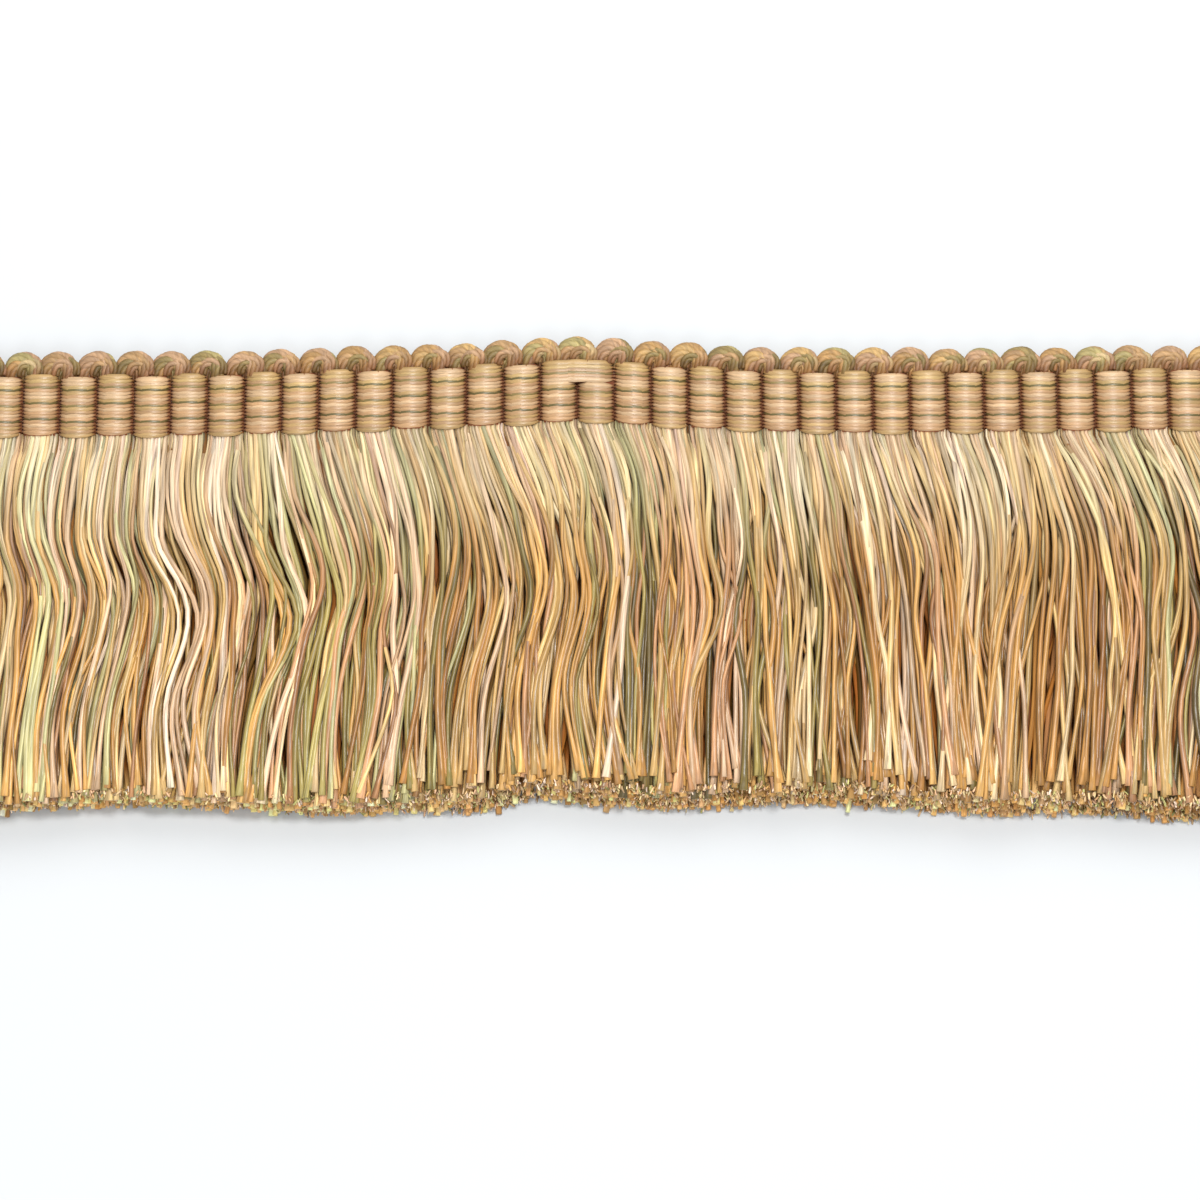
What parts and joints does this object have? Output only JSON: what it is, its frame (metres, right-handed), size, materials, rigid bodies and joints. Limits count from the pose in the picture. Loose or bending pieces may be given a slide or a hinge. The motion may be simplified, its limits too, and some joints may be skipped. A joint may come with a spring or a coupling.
{
  "type": "brush fringe trim",
  "caption": "Brush fringe trim: a ribbed woven heading with an edge of twisted yarn loops above it and a thick skirt of cut silky yarns below it.",
  "frame": {"origin": "middle of the heading's flat back, half way along the trim", "axes": "+X along the trim, +Y across it from the skirt's tips to the loops, +Z out of the face, up from the surface that the trim lies on"},
  "size_m": [0.2105, 0.0794, 0.009],
  "materials": {
    "heading_weave": "silky warp floats in pink, tan and gold with thin olive lines",
    "loop_yarn": "twisted yarn in tan, gold and olive",
    "skirt_yarn": "silky cut yarn in gold, cream, blush and olive"
  },
  "bodies": {
    "root": {"heading": "heading_weave", "loop_edge": "loop_yarn", "skirt": "skirt_yarn"}
  },
  "joints": []
}
